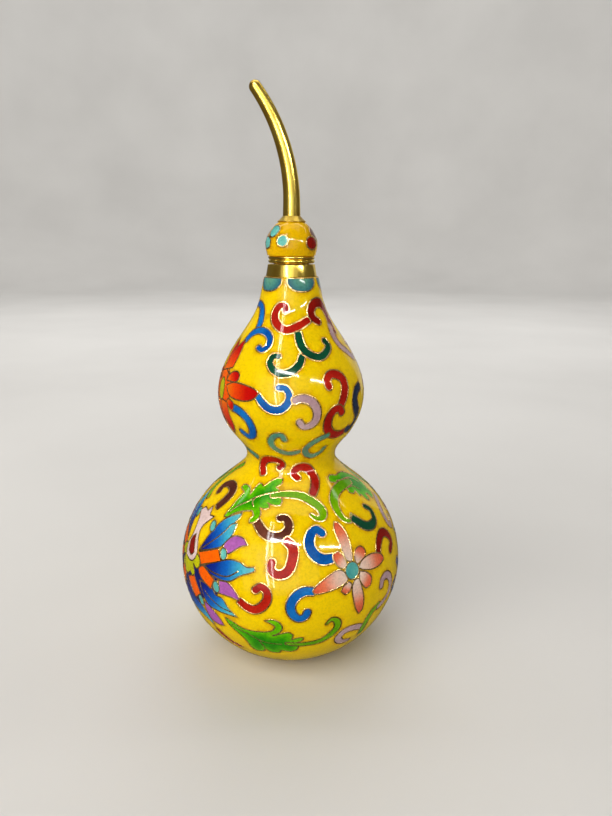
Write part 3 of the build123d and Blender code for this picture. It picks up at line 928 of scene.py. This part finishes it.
# Each enamel: its key, its name, its colours from first to last, and the strength of its grain.
ENAMEL_LOOKS = [
    ("ground", "yellow_ground", [(222, 172, 0), (250, 204, 0), (255, 216, 0)], 0.12),
    ("dome_ground", "amber_ground", [(196, 142, 2), (232, 180, 0), (242, 190, 0)], 0.14),
    ("green", "green_scrolls", [(88, 166, 0), (142, 200, 0)], 0.24),
    ("leaf", "green_leaves", [(124, 212, 0), (82, 190, 0), (38, 158, 0)], 0.28),
    ("bottle_green", "bottle_green", [(6, 62, 40), (16, 92, 62)], 0.2),
    ("maroon", "maroon", [(76, 34, 28), (120, 64, 46)], 0.25),
    ("red", "red", [(160, 16, 8), (200, 38, 20)], 0.24),
    ("crimson", "crimson", [(120, 8, 4), (160, 20, 8)], 0.24),
    ("cobalt", "cobalt", [(4, 84, 172), (24, 124, 206)], 0.24),
    ("navy", "navy", [(16, 34, 66), (34, 60, 96)], 0.22),
    ("lilac", "lilac", [(186, 150, 158), (216, 186, 186)], 0.2),
    ("turquoise", "turquoise", [(66, 158, 158), (116, 204, 192)], 0.2),
    ("teal", "teal", [(70, 132, 116), (108, 166, 142)], 0.2),
    ("lappet", "lappet_teal", [(112, 170, 138), (82, 152, 140), (38, 98, 128)], 0.24),
    ("coral_petal", "coral_petals", [(255, 230, 212), (250, 206, 184), (250, 132, 92), (236, 88, 54)], 0.2),
    ("deep_blue", "deep_blue", [(12, 16, 92), (20, 36, 124)], 0.22),
    ("blue_petal", "blue_petals", [(14, 18, 96), (10, 44, 150), (16, 104, 200), (70, 184, 214),
        (128, 214, 212)], 0.2),
    ("fire_petal", "fire_petals", [(255, 132, 4), (244, 72, 6), (206, 14, 6), (190, 4, 6)], 0.16),
    ("orange", "orange", [(246, 88, 0), (255, 112, 0)], 0.14),
    ("purple", "purple", [(156, 76, 168), (198, 116, 198)], 0.22),
    ("white", "white", [(222, 192, 188), (244, 222, 216)], 0.14),
    ("lime", "lime", [(172, 180, 0), (212, 208, 6)], 0.18),
]
# The enamels whose colours run from a flower's heart outwards, or away from a wire.
TONED = {"ground", "dome_ground", "leaf", "lappet", "coral_petal", "blue_petal", "fire_petal"}
ENAMELS = {
    key: enamel(name, colours, grain, by_tone=key in TONED) for key, name, colours, grain in ENAMEL_LOOKS
}
WIRE_METAL = metal("wire_brass", (246, 216, 150), (180, 138, 80), 0.28)


def cloisonne(drawing, node, body, prefix, ground):
    """Cuts a drawing into its ground, its enamels and its wires, which together stand for a node."""
    drawing.cut()
    fills = [motif["fill"] for motif, _, _ in drawing.laid]
    wired = drawing.wired
    pieces = [drawing.piece(f"{prefix}_ground", drawing.owner < 0, ENAMELS[ground], body)]
    for fill in dict.fromkeys(f for f in fills if f):
        owns = np.array([f == fill for f in fills] + [False])
        chosen = owns[drawing.owner] & ~wired
        if chosen.any():
            pieces.append(drawing.piece(f"{prefix}_{fill}", chosen, ENAMELS[fill], body))
    pieces.append(drawing.piece(f"{prefix}_wires", wired, WIRE_METAL, body, raised=True))
    for piece in pieces:
        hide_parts(node)


bottle_drawing = Drawing(Skin("enamel_ground", BOTTLE_ENAMEL_DEPTH, edge_z=77.6))
draw_bottle(bottle_drawing)
cloisonne(bottle_drawing, "enamel_ground", "bottle", "bottle", "ground")

dome_drawing = Drawing(Skin("stopper_enamel", DOME_ENAMEL_DEPTH, edge_z=99, step=0.3))
draw_stopper(dome_drawing)
cloisonne(dome_drawing, "stopper_enamel", "stopper", "dome", "dome_ground")


# ---------------------------------------------------------------- turned and bent brass

BRASS = metal("polished_brass", (248, 222, 104), (230, 192, 80), 0.19, scratch=(1, 1, 9))
FLANGE_BRASS = metal("flange_brass", (222, 194, 90), (196, 160, 66), 0.34, scratch=(1, 1, 9))
STEM_BRASS = metal("stem_brass", (246, 220, 104), (230, 192, 80), 0.21, scratch=(3, 3, 0.3))
TURN_STEPS = 160
SHARP_DEGREES = 35


def softened(corners, radius, steps=4):
    """A closed outline with every corner rounded off to about a radius."""
    corners = np.asarray(corners, float)
    outline = []
    for before, corner, after in zip(np.roll(corners, 1, 0), corners, np.roll(corners, -1, 0)):
        back = before - corner
        on = after - corner
        reach = min(radius, np.linalg.norm(back) / 3, np.linalg.norm(on) / 3)
        start = corner + back / np.linalg.norm(back) * reach
        stop = corner + on / np.linalg.norm(on) * reach
        for t in np.linspace(0, 1, steps):
            outline.append((1 - t) ** 2 * start + 2 * t * (1 - t) * corner + t ** 2 * stop)
    return np.array(outline)


def finished(name, verts, faces, material, body, node):
    """A smooth closed mesh, from points in millimetres, that stands for a CAD node."""
    mesh = smooth_mesh(name, np.asarray(verts) * MM, faces, material)
    mesh.set_sharp_from_angle(angle=math.radians(SHARP_DEGREES))
    piece = in_scene(name, mesh)
    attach(piece, body)
    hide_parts(node)


def lathe(name, outline, body, node, material=BRASS):
    """Turns a closed outline of (radius, height) points round the axis, given clockwise."""
    verts = []
    for k in range(TURN_STEPS):
        angle = FULL_TURN * k / TURN_STEPS
        verts += [(r * math.sin(angle), -r * math.cos(angle), z) for r, z in outline]
    faces = ring_faces(TURN_STEPS, len(outline), closed=True)
    finished(name, verts, faces, material, body, node)


def bow(start, stop, bulge, steps=9):
    """Points of a shallow curve from start to stop that swells by bulge to its right."""
    start, stop = np.array(start, float), np.array(stop, float)
    run = stop - start
    right = np.array([run[1], -run[0]]) / np.linalg.norm(run)
    return [start + t * run + 4 * t * (1 - t) * bulge * right for t in np.linspace(0, 1, steps)]


collar_low, collar_high = (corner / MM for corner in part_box("neck_collar"))
enamel_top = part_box("enamel_ground")[1].z / MM
MOUTH_BORE_R = 3.4
SLEEVE_R = 3.75
STUB_R = 4.2
LIP_T = 0.5
COLLAR_TOP_R = 4.55
COLLAR_ROUNDING = 0.13
lathe(
    "mouth_collar",
    softened(
        [
            (MOUTH_BORE_R, collar_low.z),
            (SLEEVE_R, collar_low.z),
            (SLEEVE_R, collar_high.z - LIP_T),
            (STUB_R, collar_high.z - LIP_T),
            (STUB_R, enamel_top),
            (collar_high.x, enamel_top),
            (COLLAR_TOP_R, collar_high.z),
            (MOUTH_BORE_R, collar_high.z),
        ],
        COLLAR_ROUNDING,
    ),
    "bottle",
    "neck_collar",
)

rim_low, rim_high = (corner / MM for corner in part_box("stopper_rim"))
PLUG_R = 2.4
BEAD_DEPTH = 0.25
rim_middle = (rim_low.z + rim_high.z) / 2
rim_neck = rim_high.x - BEAD_DEPTH
lathe(
    "stopper_rim_beads",
    [(PLUG_R, rim_low.z)]
    + bow((rim_neck, rim_low.z), (rim_neck, rim_middle), BEAD_DEPTH)[:-1]
    + bow((rim_neck, rim_middle), (rim_neck, rim_high.z), BEAD_DEPTH)
    + [(PLUG_R, rim_high.z)],
    "stopper",
    "stopper_rim",
)

flange_low, flange_high = (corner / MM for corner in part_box("stem_flange"))
STUD_R = 1.0
STEM_BASE_R = 1.68
FLANGE_BEAD = 0.15
FLANGE_HOLLOW = 0.03
bead_r = flange_high.x - FLANGE_BEAD
lathe(
    "stem_flange_turned",
    [(STUD_R, flange_low.z)]
    + bow((bead_r, flange_low.z), (bead_r, flange_low.z + 2 * FLANGE_BEAD), FLANGE_BEAD)
    + bow((bead_r, flange_low.z + 2 * FLANGE_BEAD), (STEM_BASE_R, flange_high.z), -FLANGE_HOLLOW)[1:]
    + [(STUD_R, flange_high.z)],
    "stopper",
    "stem_flange",
    FLANGE_BRASS,
)

STEM_TIP_R = 1.15
STEM_STRAIGHT_Z = 91.5
STEM_BEND_R = 34.0
STEM_BEND_DEG = 38.4
STEM_RINGS = 90
STEM_SIDES = 48


def stem_place(length):
    """The stem's middle at a length above the flange, and its direction there."""
    straight = STEM_STRAIGHT_Z - flange_high.z
    if length < straight:
        return Vector((0, 0, flange_high.z + length)), Vector((0, 0, 1))
    angle = (length - straight) / STEM_BEND_R
    middle = (STEM_BEND_R * (math.cos(angle) - 1), 0, STEM_STRAIGHT_Z + STEM_BEND_R * math.sin(angle))
    return Vector(middle), Vector((-math.sin(angle), 0, math.cos(angle)))


def make_stem():
    """The bent, tapering stem with its round tip and the stud that holds it."""
    whole = STEM_STRAIGHT_Z - flange_high.z + STEM_BEND_R * math.radians(STEM_BEND_DEG)
    tip_from = whole - STEM_TIP_R
    stud_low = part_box("stem")[0].z / MM
    rings = [(Vector((0, 0, z)), Vector((0, 0, 1)), STUD_R) for z in (stud_low, flange_high.z)]
    for k in range(STEM_RINGS + 1):
        length = tip_from * k / STEM_RINGS
        rings.append((*stem_place(length), STEM_BASE_R + (STEM_TIP_R - STEM_BASE_R) * length / whole))
    middle, ahead = stem_place(tip_from)
    tip_r = rings[-1][2]
    for angle in np.radians(np.linspace(8, 88, 12)):
        rings.append((middle + ahead * tip_r * math.sin(angle), ahead, tip_r * math.cos(angle)))
    verts = []
    for middle, ahead, radius in rings:
        side = Vector((0, 1, 0))
        out = side.cross(ahead)
        for k in range(STEM_SIDES):
            angle = FULL_TURN * k / STEM_SIDES
            verts.append(middle + (out * math.cos(angle) + side * math.sin(angle)) * radius)
    faces = [(a, b, b_next, a_next) for a, a_next, b_next, b in ring_faces(len(rings), STEM_SIDES)]
    faces.append(tuple(reversed(range(STEM_SIDES))))
    faces.append(tuple(range(len(verts) - STEM_SIDES, len(verts))))
    finished("bent_stem", verts, faces, STEM_BRASS, "stopper", "stem")


make_stem()


# ---------------------------------------------------------------- finishes of the other CAD pieces

GRANULE_SCALE = 1300
GRANULE_HEIGHT = 0.08
CORK_PIT_SCALE = 1900


def cork(name):
    """Pressed cork: pale granules with darker joints and pits."""
    nodes = Nodes(name)
    cells = nodes.add("ShaderNodeTexVoronoi")
    put(cells, Scale=GRANULE_SCALE)
    nodes.link(nodes.place, cells.inputs["Vector"])
    grains = nodes.ramp(cells.outputs["Color"], [(0.2, linear(150, 104, 62)), (0.8, linear(206, 164, 112))])
    pits = nodes.grey(0.45, 1.0, nodes.noise(CORK_PIT_SCALE, detail=4), start=0.34, stop=0.48)
    nodes.link(nodes.times(grains, pits), nodes.shader.inputs["Base Color"])
    put(nodes.shader, Roughness=0.85)
    nodes.bump(cells.outputs["Distance"], GRANULE_HEIGHT)
    return nodes.material


def finish(material, *names):
    """Gives CAD nodes a material."""
    for name in names:
        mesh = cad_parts[name].data
        mesh.materials.clear()
        mesh.materials.append(material)


COPPER = metal("copper", (206, 124, 92), (150, 78, 56), 0.35)
SOLDER = metal("solder", (190, 190, 186), (140, 140, 138), 0.45)
FOOT_BRASS = metal("foot_brass", (214, 170, 84), (150, 112, 56), 0.3)
COUNTER_ENAMEL = enamel("counter_enamel", [(92, 150, 168), (132, 184, 192)], 0.25)
finish(COPPER, "copper_body_lower", "copper_body_upper", "stopper_dome")
finish(SOLDER, "waist_solder_seam")
finish(FOOT_BRASS, "foot_ring", "stopper_plug", "nut_washer", "stem_nut")
finish(COUNTER_ENAMEL, "counter_enamel", "base_enamel")
finish(cork("cork"), "cork_sleeve")


# ---------------------------------------------------------------- camera, lights and floor

CAMERA_AT = Vector((3.03, -130.33, 85.06)) * MM
CAMERA_PITCH = math.radians(14.4)
CAMERA_ROLL = math.radians(0.48)
CAMERA_LENS = 29.1
CAMERA_SENSOR = 36
CAMERA_CLIP = 0.005

camera = in_scene("camera", bpy.data.cameras.new("camera"))
camera.data.lens = CAMERA_LENS
camera.data.sensor_width = CAMERA_SENSOR
camera.data.clip_start = CAMERA_CLIP
camera.matrix_world = (
    Matrix.Translation(CAMERA_AT)
    @ Matrix.Rotation(math.pi / 2 - CAMERA_PITCH, 4, "X")
    @ Matrix.Rotation(CAMERA_ROLL, 4, "Z")
)
bpy.context.scene.camera = camera


def direction(azimuth, elevation):
    """A unit vector from the bottle, azimuth in degrees from the front towards +X."""
    a, e = math.radians(azimuth), math.radians(elevation)
    return Vector((math.cos(e) * math.sin(a), -math.cos(e) * math.cos(a), math.sin(e)))


BOTTLE_MIDDLE = Vector((0, 0, 0.045))


def area_lamp(name, length, width, power):
    """A rectangular lamp in the scene."""
    lamp = bpy.data.lights.new(name, "AREA")
    lamp.shape = "RECTANGLE"
    lamp.size = length
    lamp.size_y = width
    lamp.energy = power
    return in_scene(name, lamp)


def panel_light(name, start, end, width, power, colour=(1, 1, 1), away=0.6, glossy=True, diffuse=True):
    """A flat lamp seen from the bottle between two directions, width metres broad. One that isn't glossy
    makes no reflection, and one that isn't diffuse makes nothing else."""
    a = direction(*start) * away
    b = direction(*end) * away
    place = (a + b) / 2
    x_axis = (b - a).normalized()
    z_axis = (place - x_axis * place.dot(x_axis)).normalized()
    turn = Matrix((x_axis, z_axis.cross(x_axis), z_axis)).transposed().to_4x4()
    light = area_lamp(name, (b - a).length, width, power)
    light.data.color = colour
    light.matrix_world = Matrix.Translation(place + BOTTLE_MIDDLE) @ turn
    light.visible_glossy = glossy
    light.visible_diffuse = diffuse


panel_light("window_strip_left", (-37, 60), (-19.5, -8), 0.014, 1.0, diffuse=False)
panel_light("window_strip_right", (-31, 60), (-14, -8), 0.008, 0.6, diffuse=False)
panel_light("ceiling_tube_left", (-26, 41), (14, 37), 0.017, 1.8, diffuse=False)
panel_light("ceiling_tube_right", (35, 31), (58, 23), 0.017, 1.1, diffuse=False)
panel_light("front_card", (-48, 6), (30, 12), 0.75, 1.3, (1, 0.98, 0.95), away=0.9, diffuse=False)
panel_light("front_window", (-34, 8), (10, 10), 0.6, 0.9, (1, 0.98, 0.95), away=0.88, diffuse=False)
panel_light("ceiling", (-90, 62), (90, 62), 0.5, 1.2, away=0.9, diffuse=False)
panel_light("key", (-62, 24), (4, 40), 0.7, 6.4, (1, 0.97, 0.92), away=0.9, glossy=False)
panel_light("fill", (30, 10), (95, 25), 0.5, 0.5, (0.92, 0.96, 1), away=0.9, glossy=False)
panel_light("back_card", (135, 4), (215, 30), 0.6, 0.9, away=0.9, diffuse=False)
panel_light("back", (150, 45), (210, 45), 0.5, 1.8, away=0.9, glossy=False)

BACKDROP_LAMP_AT = Vector((0, 0.3, 0.9))
BACKDROP_LIT_AT = Vector((0, 1.15, 0.25))

backdrop_light = area_lamp("backdrop", length=1.6, width=0.3, power=7)
backdrop_light.location = BACKDROP_LAMP_AT
backdrop_light.rotation_euler = (BACKDROP_LIT_AT - BACKDROP_LAMP_AT).to_track_quat("-Z", "Y").to_euler()

world = bpy.data.worlds.new("room")
world.use_nodes = True
put(world.node_tree.nodes["Background"], Color=(1, 0.84, 0.62, 1), Strength=0.115)
bpy.context.scene.world = world
bpy.context.scene.view_settings.view_transform = "Standard"

FLOOR_R = 1.35
FLOOR_CENTRE_R = 0.4
FLOOR_BEND = 0.35
WALL_TOP = 2.0
FLOOR_SECTIONS = 96
FLOOR_CLOUD_SCALE = 6


def make_floor():
    """A pale round floor that sweeps up into a wall all round."""
    profile = [(FLOOR_CENTRE_R, 0.0), (FLOOR_R - FLOOR_BEND, 0.0)]
    for angle in np.radians(np.linspace(7.5, 90, 12)):
        rise = FLOOR_BEND - FLOOR_BEND * math.cos(angle)
        profile.append((FLOOR_R - FLOOR_BEND + FLOOR_BEND * math.sin(angle), rise))
    profile.append((FLOOR_R, WALL_TOP))
    verts = []
    for radius, z in profile:
        for angle in np.linspace(0, FULL_TURN, FLOOR_SECTIONS, endpoint=False):
            verts.append((radius * math.sin(angle), -radius * math.cos(angle), z))
    faces = [tuple(range(FLOOR_SECTIONS))] + ring_faces(len(profile), FLOOR_SECTIONS)
    nodes = Nodes("floor")
    clouds = nodes.noise(FLOOR_CLOUD_SCALE, detail=3)
    pale = nodes.ramp(clouds, [(0.3, linear(206, 205, 203)), (0.7, linear(216, 215, 213))])
    nodes.link(pale, nodes.shader.inputs["Base Color"])
    put(nodes.shader, Roughness=0.9, Specular_IOR_Level=0.0)
    floor = in_scene("floor", smooth_mesh("floor", verts, faces, nodes.material))
    floor.visible_glossy = False


make_floor()
